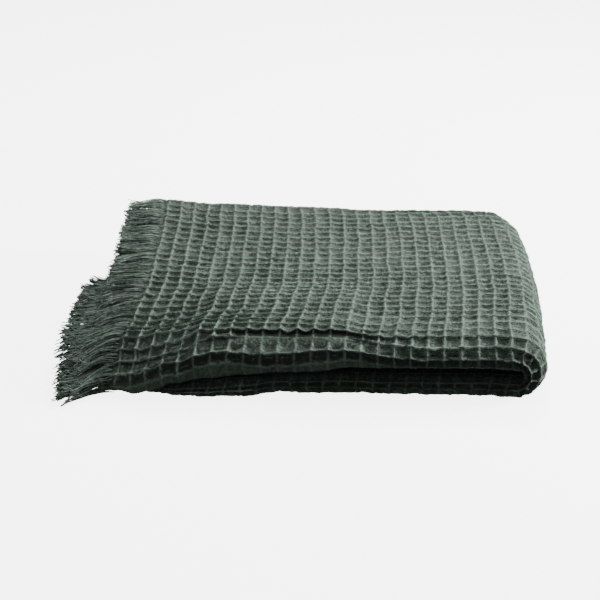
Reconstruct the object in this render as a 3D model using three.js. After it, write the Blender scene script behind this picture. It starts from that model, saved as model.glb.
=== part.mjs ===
// Waffle throw blanket, folded flat: one woven cloth with a fringe along each of its two short edges.
// Millimetres. +Z up, length of the folded pack along X with the fringe at -X, rolled front edge at -Y.
// The cloth lies double (ply A over ply B, joined by the end fold), its width is folded twice into a pack
// of eight layers, and the pack is bent once over itself, so sixteen layers rest on one another.
import * as THREE from "three";

// ---- cloth and its fold -------------------------------------------------------------------------
const PLY_THICKNESS = 2.4;
const PLY_PITCH = 3.6;
const DOUBLE_PITCH = 2 * PLY_PITCH;
const PACK_HEIGHT = 4 * DOUBLE_PITCH;
const PACK_GAP = 1.6;
const FLOOR_LIFT = (PLY_PITCH - PLY_THICKNESS) / 2;
const OUTER_TURN = 1.5 * DOUBLE_PITCH;
const INNER_TURN = 0.5 * DOUBLE_PITCH;
const END_TURN = PLY_PITCH / 2;

// ---- places along and across the pack, before it settles ----------------------------------------
const BACK_EDGE = 317;
const BACK_FOLD = 309;
const FRONT_FOLD = 0;
const INNER_FOLD = 2;
const INNER_EDGE = 313;
const BEND_START = 365;
const END_FOLD = 20;
const BEND_RADIUS = (PACK_HEIGHT + PACK_GAP) / 2;
const BEND_LENGTH = Math.PI * BEND_RADIUS;
const RUN_LENGTH = BEND_START + BEND_LENGTH + BEND_START - END_FOLD;
const CLOTH_HEIGHT = PACK_HEIGHT - 2 * FLOOR_LIFT;
const UPPER_FLOOR = PACK_HEIGHT + PACK_GAP;

// ---- fringe -------------------------------------------------------------------------------------
const FRINGE_CLEARANCE = 0.8;
const FRINGE_BAND = 6;
const HEADER = 13.5;
const FRINGE_REACH = 42;
const FRINGE_LENGTH = FRINGE_REACH - HEADER;
const FRINGE_LENGTH_SWAY = 4;
const FRINGE_THICKNESS = 1.2;
const FLAT_TUFTS = 14;
const TURN_TUFTS = 3;
const TUFT_SHARE = 0.74;
const TUFT_TAPER = 0.65;
const TUFT_LEAN = 2.5;

// ---- grid ---------------------------------------------------------------------------------------
// Shares of a flat from its front end, and the cross lines that both legs of the pack have.
const FLAT_SHARES = [0, 0.08, 0.21, 0.4, 0.9, 1];
const LEG_LINES = [44, 80, 131, 201, 285, BEND_START];
const FRINGE_END_LINES = [-HEADER, 0, 15];
const OUTER_TURN_STEPS = 6;
const INNER_TURN_STEPS = 4;
const BEND_STEPS = 8;
const END_TURN_STEPS = 4;

// ---- where the folded pack came to rest ----------------------------------------------------------
// Along the front: height of the lower roll, height of the lip of the upper roll, how far the upper
// roll hangs below that, how far forward of FRONT_FOLD each has crept and how far the top has dropped.
const FRONT = [
  { x: -50, lower: 8, lip: 11, sag: 9, upperOut: 13, lowerOut: 10, drop: 16 },
  { x: -14, lower: 8, lip: 11, sag: 9, upperOut: 4, lowerOut: 4, drop: 15 },
  { x: 0, lower: 8, lip: 11, sag: 9, upperOut: 7, lowerOut: 4, drop: 15 },
  { x: 15, lower: 8, lip: 9.5, sag: 0, upperOut: 12, lowerOut: 13, drop: 13 },
  { x: 36, lower: 9.5, lip: 11.5, sag: 0, upperOut: 10, lowerOut: 14, drop: 9 },
  { x: 52, lower: 11, lip: 13.5, sag: 0, upperOut: 8, lowerOut: 15, drop: 6 },
  { x: 80, lower: 13, lip: 16.5, sag: 0, upperOut: 3, lowerOut: 16, drop: 4 },
  { x: 118, lower: 16, lip: 20.5, sag: 0, upperOut: 1, lowerOut: 14, drop: 2 },
  { x: 150, lower: 18, lip: 23.5, sag: 0, upperOut: 0, lowerOut: 7, drop: 1 },
  { x: 215, lower: 19.5, lip: 26, sag: 0, upperOut: 0, lowerOut: 6, drop: 0 },
  { x: 245, lower: 20, lip: 27, sag: 0, upperOut: 3, lowerOut: 8, drop: 0 },
  { x: 335, lower: 20, lip: 27.5, sag: 0, upperOut: 4, lowerOut: 6, drop: 0 },
  { x: 372, lower: 21.5, lip: 25, sag: 0, upperOut: 6, lowerOut: 12, drop: 0 },
  { x: 400, lower: 22, lip: 24, sag: 0, upperOut: 7, lowerOut: 14, drop: 1 },
];
// Along the back: rise of the top surface and how far the edges lie outside BACK_EDGE.
const BACK = [
  { x: -60, rise: 7, out: 0 },
  { x: 0, rise: 8, out: 2 },
  { x: 50, rise: 5, out: 0 },
  { x: 150, rise: 2, out: 1 },
  { x: 240, rise: 1, out: -3 },
  { x: 320, rise: 0, out: 0 },
  { x: 400, rise: -2, out: 0 },
];
// Across the pack: how far the cross lines of the cloth bow towards +X at the fringe and at the bend,
// the rounding of the bend's corners, how much of its height the fringe tip keeps and its splay.
const ACROSS = [
  { y: -25, fringeBow: -12, bendBow: -1, corner: -5, tip: 0.3, splay: -16 },
  { y: 0, fringeBow: -7, bendBow: 2, corner: 0, tip: 0.55, splay: -10 },
  { y: 60, fringeBow: 2, bendBow: 6, corner: 0, tip: 0.8, splay: -2 },
  { y: 115, fringeBow: 8, bendBow: 9, corner: 0, tip: 0.9, splay: 0 },
  { y: 150, fringeBow: 8, bendBow: 10, corner: 0, tip: 0.91, splay: 0 },
  { y: 200, fringeBow: 8, bendBow: 10, corner: 0, tip: 0.93, splay: 0 },
  { y: 260, fringeBow: 7, bendBow: 9, corner: 0, tip: 0.94, splay: 2 },
  { y: 290, fringeBow: 5, bendBow: 8, corner: -1, tip: 0.95, splay: 3 },
  { y: 325, fringeBow: 4, bendBow: 4, corner: -8, tip: 0.96, splay: 4 },
];
// How far the tips of the lower fringe show past those of the upper one.
const LOWER_REACH = [
  { y: -25, past: 10 },
  { y: 0, past: 14 },
  { y: 60, past: 29 },
  { y: 127, past: 31 },
  { y: 141, past: 3 },
];
// Under the lip of the upper roll: how far it is pressed in from below and how far its edge is lifted.
const NOSE = [
  { x: -20, press: 3, lift: 0 },
  { x: 5, press: 3, lift: 0 },
  { x: 35, press: 5, lift: 0 },
  { x: 65, press: 8, lift: 0 },
  { x: 185, press: 8, lift: 0 },
  { x: 215, press: 1, lift: 1.5 },
  { x: 400, press: 0, lift: 2 },
];
// The shelf along the upper roll's shoulder: how far it stands forward and how far it is raised.
const SHELF = [
  { x: -20, push: 6, rise: 0 },
  { x: 60, push: 9.5, rise: 2 },
  { x: 230, push: 9.5, rise: 2 },
  { x: 330, push: 8, rise: 1.5 },
  { x: 400, push: 3, rise: 0 },
];
// How far the top of the front left end slumps towards the surface.
const SLUMP = [
  { x: -20, fall: 18 },
  { x: 0, fall: 18 },
  { x: 20, fall: 15 },
  { x: 45, fall: 8 },
  { x: 80, fall: 0 },
];
const SLUMP_FADE = [-14, 26];
// The crown behind the shelf, where the top puffs up between CROWN_REACH along the pack.
const CROWN = [
  { y: -11, rise: 0 },
  { y: 3, rise: 5.5 },
  { y: 60, rise: 5.5 },
  { y: 125, rise: 0 },
];
const CROWN_REACH = { low: 82, high: 200, fade: 30 };
const NOSE_FADE = [-8, 8];
const PRESS_SHARE = [0.3, 0.62];
const SHELF_SHARE = [0.6, 0.95];
const SHELF_TOP = { low: 0.5, high: 0.7, fade: 0.3 };
const SHELF_FADE = [-6, 20];
const SLIT_PUSH = 5;
const SLIT_START = 300;
const SLIT_FADE = [4, 60];
const FRONT_FADE = 78;
const CREEP_FADE = 150;
const DROP_FADE = 150;
const BACK_FADE = 170;
const CORNER_START = 330;
const SAG_FADE = [-6, 26];

// ---- the origin in the numbers above ---------------------------------------------------------------
const CENTRE_X = 165.08;
const CENTRE_Y = 139.12;

const COLOURS = { cloth: 0x6f8376, fringe: 0x788c7f };

// Smooth step from 0 at a to 1 at b.
function ease(a, b, value) {
  const t = Math.min(1, Math.max(0, (value - a) / (b - a)));
  return t * t * (3 - 2 * t);
}

function mix(a, b, share) {
  return a + (b - a) * share;
}

// A step up and down again: 1 from low to high, fading to 0 over fade outside them.
function stretch({ low, high, fade }, value) {
  return ease(low - fade, low, value) * (1 - ease(high, high + fade, value));
}

// One column of a table, eased from row to row of its key column.
function read(table, key, column, value) {
  let total = table[0][column];
  for (let row = 1; row < table.length; row += 1) {
    const before = table[row - 1];
    const after = table[row];
    total += (after[column] - before[column]) * ease(before[key], after[key], value);
  }
  return total;
}

// Section across the pack: middle of the doubled cloth and its normal at arc length u from the top edge.
function section(u) {
  const spans = sectionSpans();
  let rest = u;
  let index = 0;
  while (index < spans.length - 1 && rest > spans[index].length) {
    rest -= spans[index].length;
    index += 1;
  }
  return spans[index].at(rest);
}

function flatSpan(start, direction, height, facing, length) {
  return {
    length,
    at: (d) => ({ y: start + direction * d, w: height, ny: 0, nw: facing }),
  };
}

// A half turn about (y, w); side is -1 at the front and +1 at the back, from and inside set its sense.
function turnSpan(y, w, radius, side, climb, facing) {
  return {
    length: Math.PI * radius,
    at: (d) => {
      const angle = d / radius;
      const outY = side * Math.sin(angle);
      const outW = -climb * Math.cos(angle);
      return { y: y + radius * outY, w: w + radius * outW, ny: facing * outY, nw: facing * outW };
    },
  };
}

function sectionSpans() {
  const heights = [1, 3, 5, 7].map((n) => n * INNER_TURN);
  return [
    flatSpan(BACK_EDGE, -1, heights[3], 1, BACK_EDGE - FRONT_FOLD),
    turnSpan(FRONT_FOLD, PACK_HEIGHT / 2, OUTER_TURN, -1, -1, 1),
    flatSpan(FRONT_FOLD, 1, heights[0], -1, BACK_FOLD - FRONT_FOLD),
    turnSpan(BACK_FOLD, DOUBLE_PITCH, INNER_TURN, 1, 1, 1),
    flatSpan(BACK_FOLD, -1, heights[1], 1, BACK_FOLD - INNER_FOLD),
    turnSpan(INNER_FOLD, PACK_HEIGHT / 2, INNER_TURN, -1, 1, -1),
    flatSpan(INNER_FOLD, 1, heights[2], -1, INNER_EDGE - INNER_FOLD),
  ];
}

// Run along the pack: place s of the cloth and its level k in the doubled cloth, with its normal.
function run(v) {
  const turn = Math.PI * END_TURN;
  if (v <= RUN_LENGTH) {
    return { s: v, k: END_TURN, ns: 0, nk: 1 };
  }
  if (v < RUN_LENGTH + turn) {
    const angle = (v - RUN_LENGTH) / END_TURN;
    const out = { ns: Math.sin(angle), nk: Math.cos(angle) };
    return { s: RUN_LENGTH + END_TURN * out.ns, k: END_TURN * out.nk, ...out };
  }
  return { s: 2 * RUN_LENGTH + turn - v, k: -END_TURN, ns: 0, nk: -1 };
}

// Bend the pack once over itself: s along it, w up through it.
function bend(s, w) {
  const centre = PACK_HEIGHT + PACK_GAP / 2 - FLOOR_LIFT;
  const radius = PACK_GAP / 2 + w;
  if (s <= BEND_START) {
    return { x: s, z: centre + radius, upper: 1 };
  }
  if (s < BEND_START + BEND_LENGTH) {
    const angle = (s - BEND_START) / BEND_RADIUS;
    const upper = (1 + Math.cos(angle)) / 2;
    return { x: BEND_START + radius * Math.sin(angle), z: centre + radius * Math.cos(angle), upper };
  }
  return { x: 2 * BEND_START + BEND_LENGTH - s, z: centre - radius, upper: 0 };
}

// Let the pack come to rest: rolls puff and creep, the fringe end droops, the cross lines bow.
function settle(x, y, z, w, upper) {
  const front = 1 - ease(0, FRONT_FADE, y);
  const creep = 1 - ease(-5, CREEP_FADE, y);
  const fall = 1 - ease(-5, DROP_FADE, y);
  const back = ease(BACK_EDGE - BACK_FADE, BACK_EDGE, y);
  const share = (w - FLOOR_LIFT) / CLOTH_HEIGHT;
  const lowerHeight = mix(CLOTH_HEIGHT, read(FRONT, "x", "lower", x), front);
  const lip = mix(UPPER_FLOOR, read(FRONT, "x", "lip", x), front);
  const crown = stretch(CROWN_REACH, x) * read(CROWN, "y", "rise", y);
  const slump = (1 - ease(...SLUMP_FADE, y)) * read(SLUMP, "x", "fall", x);
  const surface = crown - slump - fall * read(FRONT, "x", "drop", x) + back * read(BACK, "x", "rise", x);
  const hang = (1 - share) * (1 - ease(...SAG_FADE, y)) * read(FRONT, "x", "sag", x);
  const near = 1 - ease(...NOSE_FADE, y);
  const lowPart = ease(-0.45, 0.75, share) * (1 - ease(...PRESS_SHARE, share));
  const press = near * lowPart * read(NOSE, "x", "press", x);
  const lift = near * (1 - share) ** 2 * read(NOSE, "x", "lift", x);
  const shelf = 1 - ease(...SHELF_FADE, y);
  const shelfRise = shelf * stretch(SHELF_TOP, share) * read(SHELF, "x", "rise", x);
  const shelfPush = shelf * (1 - ease(...SHELF_SHARE, share)) * upper * read(SHELF, "x", "push", x);
  const slit = SLIT_PUSH * (1 - share) * (1 - ease(...SLIT_FADE, y)) * ease(SLIT_START, BEND_START, x);
  const upperRise = mix(lip - UPPER_FLOOR, surface, share) - hang - press + lift + shelfRise;
  const lowerRise = (1 - share) * (lowerHeight - CLOTH_HEIGHT);
  const out = mix(read(FRONT, "x", "lowerOut", x), read(FRONT, "x", "upperOut", x), upper);
  const bow = mix(read(ACROSS, "y", "fringeBow", y), read(ACROSS, "y", "bendBow", y), ease(0, 400, x));
  const corner = read(ACROSS, "y", "corner", y) * ease(CORNER_START, BEND_START + 30, x);
  const beyond = Math.max(0, -(x + slit) / FRINGE_REACH);
  const tip = mix(1, read(ACROSS, "y", "tip", y), beyond);
  const splay = beyond ** 2 * read(ACROSS, "y", "splay", y);
  return new THREE.Vector3(
    x + slit + bow + corner - CENTRE_X,
    y - creep * out - shelfPush + back * read(BACK, "x", "out", x) + splay - CENTRE_Y,
    (z + mix(lowerRise, upperRise, upper)) * tip,
  );
}

// A point of the cloth: u across it, place along it as run() gives it, and offset along its normal.
function place(u, along, offset) {
  const across = section(u);
  const s = along.s + offset * along.ns;
  const k = along.k + offset * along.nk;
  const w = across.w + k * across.nw;
  const bent = bend(s, w);
  return settle(bent.x, across.y + k * across.ny, bent.z, w, bent.upper);
}

// The same point on the flat facet that the cloth has there between two of its own lines across.
function placeOnFacet(u, along, offset) {
  const across = acrossLines();
  const after = Math.max(1, across.findIndex((line) => line >= u - 1e-9));
  const share = (u - across[after - 1]) / (across[after] - across[after - 1]);
  return place(across[after - 1], along, offset).lerp(place(across[after], along, offset), share);
}

// Closed sheet over the cells of a grid that are kept; point(i, j, side) gives its two skins.
function closedSheet(columns, rows, keep, turned, point) {
  const positions = [];
  const numbers = new Map();
  const faces = [];
  const vertex = (i, j, side) => {
    const name = `${i} ${j} ${side}`;
    if (!numbers.has(name)) {
      numbers.set(name, positions.length / 3);
      positions.push(...point(i, j, side).toArray());
    }
    return numbers.get(name);
  };
  const quad = (a, b, c, d, other) => {
    faces.push(...(other ? [b, c, d, b, d, a] : [a, b, c, a, c, d]));
  };
  const kept = (i, j) => i >= 0 && j >= 0 && i < columns && j < rows && keep(i, j);
  const wall = (ia, ja, ib, jb) => {
    quad(vertex(ia, ja, 1), vertex(ia, ja, -1), vertex(ib, jb, -1), vertex(ib, jb, 1), false);
  };
  for (let i = 0; i < columns; i += 1) {
    for (let j = 0; j < rows; j += 1) {
      if (!kept(i, j)) {
        continue;
      }
      const outer = [[i, j], [i + 1, j], [i + 1, j + 1], [i, j + 1]];
      const inner = [[i, j], [i, j + 1], [i + 1, j + 1], [i + 1, j]];
      quad(...outer.map(([a, b]) => vertex(a, b, 1)), turned(i, j));
      quad(...inner.map(([a, b]) => vertex(a, b, -1)), turned(i, j));
      if (!kept(i - 1, j)) {
        wall(i, j + 1, i, j);
      }
      if (!kept(i + 1, j)) {
        wall(i + 1, j, i + 1, j + 1);
      }
      if (!kept(i, j - 1)) {
        wall(i, j, i + 1, j);
      }
      if (!kept(i, j + 1)) {
        wall(i + 1, j + 1, i, j + 1);
      }
    }
  }
  const geometry = new THREE.BufferGeometry();
  geometry.setAttribute("position", new THREE.Float32BufferAttribute(positions, 3));
  geometry.setIndex(faces);
  geometry.computeVertexNormals();
  return geometry;
}

// Grid lines along a path of spans: each span gives the distances from its start at which lines lie.
function lines(spans) {
  const stops = [0];
  for (const distances of spans) {
    const start = stops[stops.length - 1];
    stops.push(...distances.filter((distance) => distance > 0).map((distance) => start + distance));
  }
  return stops;
}

function evenly(length, steps) {
  return Array.from({ length: steps + 1 }, (_, step) => (length * step) / steps);
}

function backwards(distances) {
  const length = distances[distances.length - 1];
  return distances.map((distance) => length - distance).reverse();
}

function acrossLines() {
  const [first, outer, second, back, third, inner, last] = sectionSpans().map((span) => span.length);
  const flat = (length) => FLAT_SHARES.map((share) => share * length);
  return lines([
    backwards(flat(first)),
    evenly(outer, OUTER_TURN_STEPS),
    flat(second),
    evenly(back, INNER_TURN_STEPS),
    backwards(flat(third)),
    evenly(inner, INNER_TURN_STEPS),
    flat(last),
  ]);
}

function alongLines() {
  const upper = [...FRINGE_END_LINES, ...LEG_LINES].map((x) => x + HEADER);
  const lower = [END_FOLD, ...LEG_LINES].map((x) => x - END_FOLD);
  const turn = evenly(BEND_LENGTH, BEND_STEPS);
  const end = evenly(Math.PI * END_TURN, END_TURN_STEPS);
  const stops = lines([upper, turn, backwards(lower), end, lower, turn, backwards(upper)]);
  return stops.map((stop) => stop - HEADER);
}

function clothGeometry() {
  const across = acrossLines();
  const along = alongLines();
  const middle = (along[0] + along[along.length - 1]) / 2;
  const turned = (i, j) => (section(across[i] + 1).nw > 0) === (along[j] < middle);
  return closedSheet(across.length - 1, along.length - 1, () => true, turned, (i, j, side) => {
    return place(across[i], run(along[j]), (side * PLY_THICKNESS) / 2);
  });
}

// Lines of the comb across the cloth: each tuft has an edge line on either side of its centre, and the
// ends of every span, and the steps of the tight turns, have a plain line of their own.
function combLines() {
  const found = [];
  let start = 0;
  sectionSpans().forEach(({ length }, index) => {
    const tight = index === 3 || index === 5;
    const tufts = index === 1 ? TURN_TUFTS : FLAT_TUFTS;
    const pitch = length / tufts;
    const plain = evenly(length, tight ? INNER_TURN_STEPS : 1);
    found.push(...plain.slice(0, -1).map((distance) => ({ u: start + distance, edge: 0 })));
    for (let tuft = 0; tuft < tufts && !tight; tuft += 1) {
      const centre = start + (tuft + 0.5) * pitch;
      const half = (TUFT_SHARE * pitch) / 2;
      found.push({ u: centre - half, edge: -1, centre });
      found.push({ u: centre + half, edge: 1, centre });
    }
    start += length;
  });
  found.push({ u: start, edge: 0 });
  return found;
}

// Comb of tufts along one short edge; level is +1 for ply A's edge and -1 for ply B's.
function fringeGeometry(level, phase) {
  const across = combLines();
  const reach = [0, FRINGE_BAND, FRINGE_LENGTH];
  const keep = (i, j) => j === 0 || (across[i].edge < 0 && across[i + 1].edge > 0);
  return closedSheet(across.length - 1, reach.length - 1, keep, () => false, (i, j, side) => {
    const { u, edge, centre } = across[i];
    const tip = j === 2 && edge !== 0;
    const lean = TUFT_LEAN * Math.sin(centre * 0.11 + phase);
    const sway = FRINGE_LENGTH_SWAY * Math.sin(centre * 0.083 + phase);
    const past = level < 0 && tip ? read(LOWER_REACH, "y", "past", section(u).y) : 0;
    const line = tip ? mix(centre, u, TUFT_TAPER) + lean : u;
    const out = -HEADER - FRINGE_CLEARANCE - reach[j] - (tip ? sway : 0) - past;
    const along = { s: out, k: level * END_TURN, ns: 0, nk: -1 };
    return placeOnFacet(line, along, (side * FRINGE_THICKNESS) / 2);
  });
}

function addMesh(group, name, geometry, colour) {
  const material = new THREE.MeshStandardMaterial({ color: colour, roughness: 0.95, metalness: 0 });
  const mesh = new THREE.Mesh(geometry, material);
  mesh.name = name;
  group.add(mesh);
}

const blanket = new THREE.Group();
blanket.name = "waffle_throw";
addMesh(blanket, "cloth_body", clothGeometry(), COLOURS.cloth);
addMesh(blanket, "fringe_upper", fringeGeometry(1, 0.4), COLOURS.fringe);
addMesh(blanket, "fringe_lower", fringeGeometry(-1, 1.9), COLOURS.fringe);

export default blanket;
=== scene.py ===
"""Looks of the folded waffle throw: woven cloth, fringe yarns, their finishes and a plain studio."""

import logging
import math
from dataclasses import dataclass, field
from enum import Enum
from functools import cached_property
from typing import Any, Sequence

import bpy
import numpy as np
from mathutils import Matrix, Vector


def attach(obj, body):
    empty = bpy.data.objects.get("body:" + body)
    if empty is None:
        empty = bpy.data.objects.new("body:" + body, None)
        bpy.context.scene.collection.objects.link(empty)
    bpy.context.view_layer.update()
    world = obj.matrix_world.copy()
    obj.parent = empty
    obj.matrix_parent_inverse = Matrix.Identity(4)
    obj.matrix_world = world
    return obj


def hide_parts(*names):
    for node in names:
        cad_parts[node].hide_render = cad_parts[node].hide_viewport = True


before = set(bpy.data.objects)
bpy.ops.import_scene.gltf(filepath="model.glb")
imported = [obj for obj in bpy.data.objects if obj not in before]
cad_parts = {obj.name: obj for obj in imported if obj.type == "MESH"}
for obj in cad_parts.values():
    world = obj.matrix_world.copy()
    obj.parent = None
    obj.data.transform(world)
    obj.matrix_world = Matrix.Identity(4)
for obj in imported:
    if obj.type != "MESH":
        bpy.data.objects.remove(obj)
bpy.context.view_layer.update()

LOG = logging.getLogger("waffle_throw")
MM = 0.001
Floats = np.ndarray
Colour = tuple[float, float, float]


def ease(start: Any, end: Any, value: Any) -> Floats:
    """Smooth step.

    Args:
        start: where the step leaves 0.
        end: where it reaches 1.
        value: the number or array to read it at.

    Returns:
        The share between 0 and 1.
    """
    share = np.clip((np.asarray(value, float) - start) / (end - start), 0.0, 1.0)
    return share * share * (3.0 - 2.0 * share)


def mix(low: Any, high: Any, share: Any) -> Any:
    """Straight blend from low to high."""
    return low + (high - low) * share


def vary(size: tuple[float, float], noise: Floats) -> Floats:
    """A size's middle value, moved by its spread times the noise."""
    return size[0] + size[1] * noise


def window(low: float, high: float, fade: float, value: Floats) -> Floats:
    """A step up and down again: 1 from low to high, fading to 0 over fade outside them."""
    return ease(low - fade, low, value) * (1.0 - ease(high, high + fade, value))


class Skin(Enum):
    """The two faces of the cloth."""

    OUTER = 1
    INNER = -1


class Rest(Enum):
    """How a block of the cloth's mesh is divided."""

    CARVED = "every line of the relief"
    DIMPLED = "four slopes to its middle"
    PLAIN = "one face"


@dataclass(frozen=True)
class ShapeTable:
    """A short table of the settled shape, eased from row to row of its first column."""

    columns: tuple[str, ...]
    rows: tuple[tuple[float, ...], ...]

    def read(self, column: str, value: Floats) -> Floats:
        """One column at the key values given.

        Args:
            column: the column's name.
            value: key values.

        Returns:
            The eased entries.
        """
        place = self.columns.index(column)
        total = np.full(np.shape(value), self.rows[0][place])
        for before, after in zip(self.rows, self.rows[1:]):
            total = total + (after[place] - before[place]) * ease(before[0], after[0], value)
        return total


@dataclass(frozen=True)
class LatticeNoise:
    """Seeded values on a square lattice, read smoothly between its points."""

    seed: int
    size: int = 128

    @cached_property
    def values(self) -> Floats:
        """The lattice's numbers, from -1 to 1."""
        return np.random.default_rng(self.seed).uniform(-1.0, 1.0, (self.size, self.size))

    def at(self, across: Floats, along: Floats) -> Floats:
        """The field at lattice coordinates.

        Args:
            across: first coordinate.
            along: second coordinate.

        Returns:
            Values from -1 to 1.
        """
        low_a, low_b = np.floor(across).astype(int), np.floor(along).astype(int)
        share_a, share_b = ease(0, 1, across - low_a), ease(0, 1, along - low_b)
        rows = [(low_a + step) % self.size for step in (0, 1)]
        columns = [(low_b + step) % self.size for step in (0, 1)]
        corner = [[self.values[row, column] for column in columns] for row in rows]
        first = mix(corner[0][0], corner[0][1], share_b)
        second = mix(corner[1][0], corner[1][1], share_b)
        return mix(first, second, share_a)


@dataclass(frozen=True)
class Span:
    """One flat or half turn of the section across the pack."""

    length: float
    y: float
    w: float
    facing: int
    direction: int = 0
    radius: float = 0.0
    side: int = 0
    climb: int = 0

    def at(self, distance: Floats) -> tuple[Floats, Floats, Floats, Floats]:
        """Middle of the doubled cloth.

        Args:
            distance: how far along the span.

        Returns:
            Place across, height, and the normal's two parts.
        """
        if self.radius == 0.0:
            level = np.zeros_like(distance)
            return self.y + self.direction * distance, self.w + level, level, self.facing + level
        angle = distance / self.radius
        out_y, out_w = self.side * np.sin(angle), -self.climb * np.cos(angle)
        return (
            self.y + self.radius * out_y,
            self.w + self.radius * out_w,
            self.facing * out_y,
            self.facing * out_w,
        )


@dataclass(frozen=True)
class FoldedPack:
    """The fold of the throw, in millimetres: section, run, one bend, then the settling.

    x runs from the fringe's root, y from the rolled front edge, z from the floor.
    """

    ply_thickness: float = 2.4
    ply_pitch: float = 3.6
    pack_gap: float = 1.6
    back_edge: float = 317.0
    back_fold: float = 309.0
    inner_fold: float = 2.0
    inner_edge: float = 313.0
    bend_start: float = 365.0
    end_fold: float = 20.0
    front_fade: float = 78.0
    fall_fade: float = 150.0
    back_fade: float = 170.0
    corner_start: float = 330.0
    corner_past: float = 30.0
    fall_start: float = -5.0
    bow_end: float = 400.0
    sag_fade: tuple[float, float] = (-6.0, 26.0)
    fringe_length: float = 42.0
    centre_x: float = 165.08
    centre_y: float = 139.12
    front: ShapeTable = ShapeTable(
        ("x", "lower", "lip", "sag", "upper_out", "lower_out", "drop"),
        (
            (-50, 8, 11, 9, 13, 10, 16),
            (-14, 8, 11, 9, 4, 3, 15),
            (0, 8, 11, 9, 7, 3, 15),
            (15, 8, 9.5, 8, 12, 5, 13),
            (36, 9.5, 11.5, 5, 10, 8, 9),
            (52, 11, 13.5, 0, 8, 15, 6),
            (80, 13, 16.5, 0, 3, 16, 4),
            (118, 16, 20.5, 0, 1, 14, 2),
            (150, 18, 23.5, 0, 0, 7, 1),
            (215, 19.5, 26, 0, 0, 6, 0),
            (245, 20, 27, 0, 3, 8, 0),
            (335, 20, 27.5, 0, 4, 6, 0),
            (372, 21.5, 25, 0, 6, 12, 0),
            (400, 22, 24, 0, 7, 14, 1),
        ),
    )
    back: ShapeTable = ShapeTable(
        ("x", "rise", "out"),
        ((-60, 7, 0), (0, 8, 2), (50, 5, 0), (150, 2, 1), (240, 1, -3), (320, 0, 0), (400, -2, 0)),
    )
    across: ShapeTable = ShapeTable(
        ("y", "fringe_bow", "bend_bow", "corner", "tip", "splay"),
        (
            (-25, -12, -1, -5, 0.3, -16),
            (0, -7, 2, 0, 0.55, -10),
            (60, 2, 6, 0, 0.8, -2),
            (115, 8, 9, 0, 0.9, 0),
            (150, 8, 10, 0, 0.91, 0),
            (200, 8, 10, 0, 0.93, 0),
            (260, 7, 9, 0, 0.94, 2),
            (290, 5, 8, -1, 0.95, 3),
            (325, 4, 4, -8, 0.96, 4),
        ),
    )
    lower_reach: ShapeTable = ShapeTable(
        ("y", "past"), ((-25, 10), (0, 14), (60, 29), (127, 31), (141, 3))
    )
    nose: ShapeTable = ShapeTable(
        ("x", "press", "lip_lift"),
        (
            (-20, 3, 0),
            (5, 3, 0),
            (35, 5, 0),
            (65, 8, 0),
            (185, 8, 0),
            (215, 1, 1.5),
            (400, 0, 2),
        ),
    )
    nose_fade: tuple[float, float] = (-8.0, 8.0)
    slit_push: float = 5.0
    slit_start: float = 300.0
    slit_fade: tuple[float, float] = (4.0, 60.0)
    header: float = 13.5
    normal_reach: float = 1.0
    shelf: ShapeTable = ShapeTable(
        ("x", "push", "rise"),
        ((-20, 6, 0), (60, 9.5, 2), (230, 9.5, 2), (330, 8, 1.5), (400, 3, 0)),
    )
    shelf_share: tuple[float, float] = (0.6, 0.95)
    shelf_top: tuple[float, float, float] = (0.5, 0.7, 0.3)
    shelf_fade: tuple[float, float] = (-6.0, 20.0)
    press_start: tuple[float, float] = (-0.45, 0.75)
    press_share: tuple[float, float] = (0.3, 0.62)
    slump: ShapeTable = ShapeTable(("x", "fall"), ((-20, 18), (0, 18), (20, 15), (45, 8), (80, 0)))
    slump_fade: tuple[float, float] = (-14.0, 26.0)
    crown: ShapeTable = ShapeTable(("y", "rise"), ((-8, 0), (-4.5, 5.5), (60, 5.5), (125, 0)))
    crown_reach: tuple[float, float, float] = (82.0, 200.0, 30.0)

    @property
    def double_pitch(self) -> float:
        """Pitch of the doubled cloth's layers."""
        return 2 * self.ply_pitch

    @property
    def pack_height(self) -> float:
        """Height of one pack of eight layers."""
        return 4 * self.double_pitch

    @property
    def floor_lift(self) -> float:
        """Half of the air between two layers."""
        return (self.ply_pitch - self.ply_thickness) / 2

    @property
    def cloth_height(self) -> float:
        """Height of one pack from skin to skin."""
        return self.pack_height - 2 * self.floor_lift

    @property
    def upper_floor(self) -> float:
        """Height at which the upper pack starts."""
        return self.pack_height + self.pack_gap

    @property
    def outer_turn(self) -> float:
        """Radius of the turn round the whole front edge."""
        return 1.5 * self.double_pitch

    @property
    def inner_turn(self) -> float:
        """Radius of the tight turns."""
        return 0.5 * self.double_pitch

    @property
    def end_turn(self) -> float:
        """Radius of the fold at the cloth's far end."""
        return self.ply_pitch / 2

    @property
    def bend_radius(self) -> float:
        """Radius at which the pack's length is kept in the bend."""
        return self.upper_floor / 2

    @property
    def bend_length(self) -> float:
        """Length of the bend."""
        return math.pi * self.bend_radius

    @property
    def run_length(self) -> float:
        """Length from the fringe's root to the end fold."""
        return 2 * self.bend_start + self.bend_length - self.end_fold

    @property
    def end_length(self) -> float:
        """Length of the end fold's half turn."""
        return math.pi * self.end_turn

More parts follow.
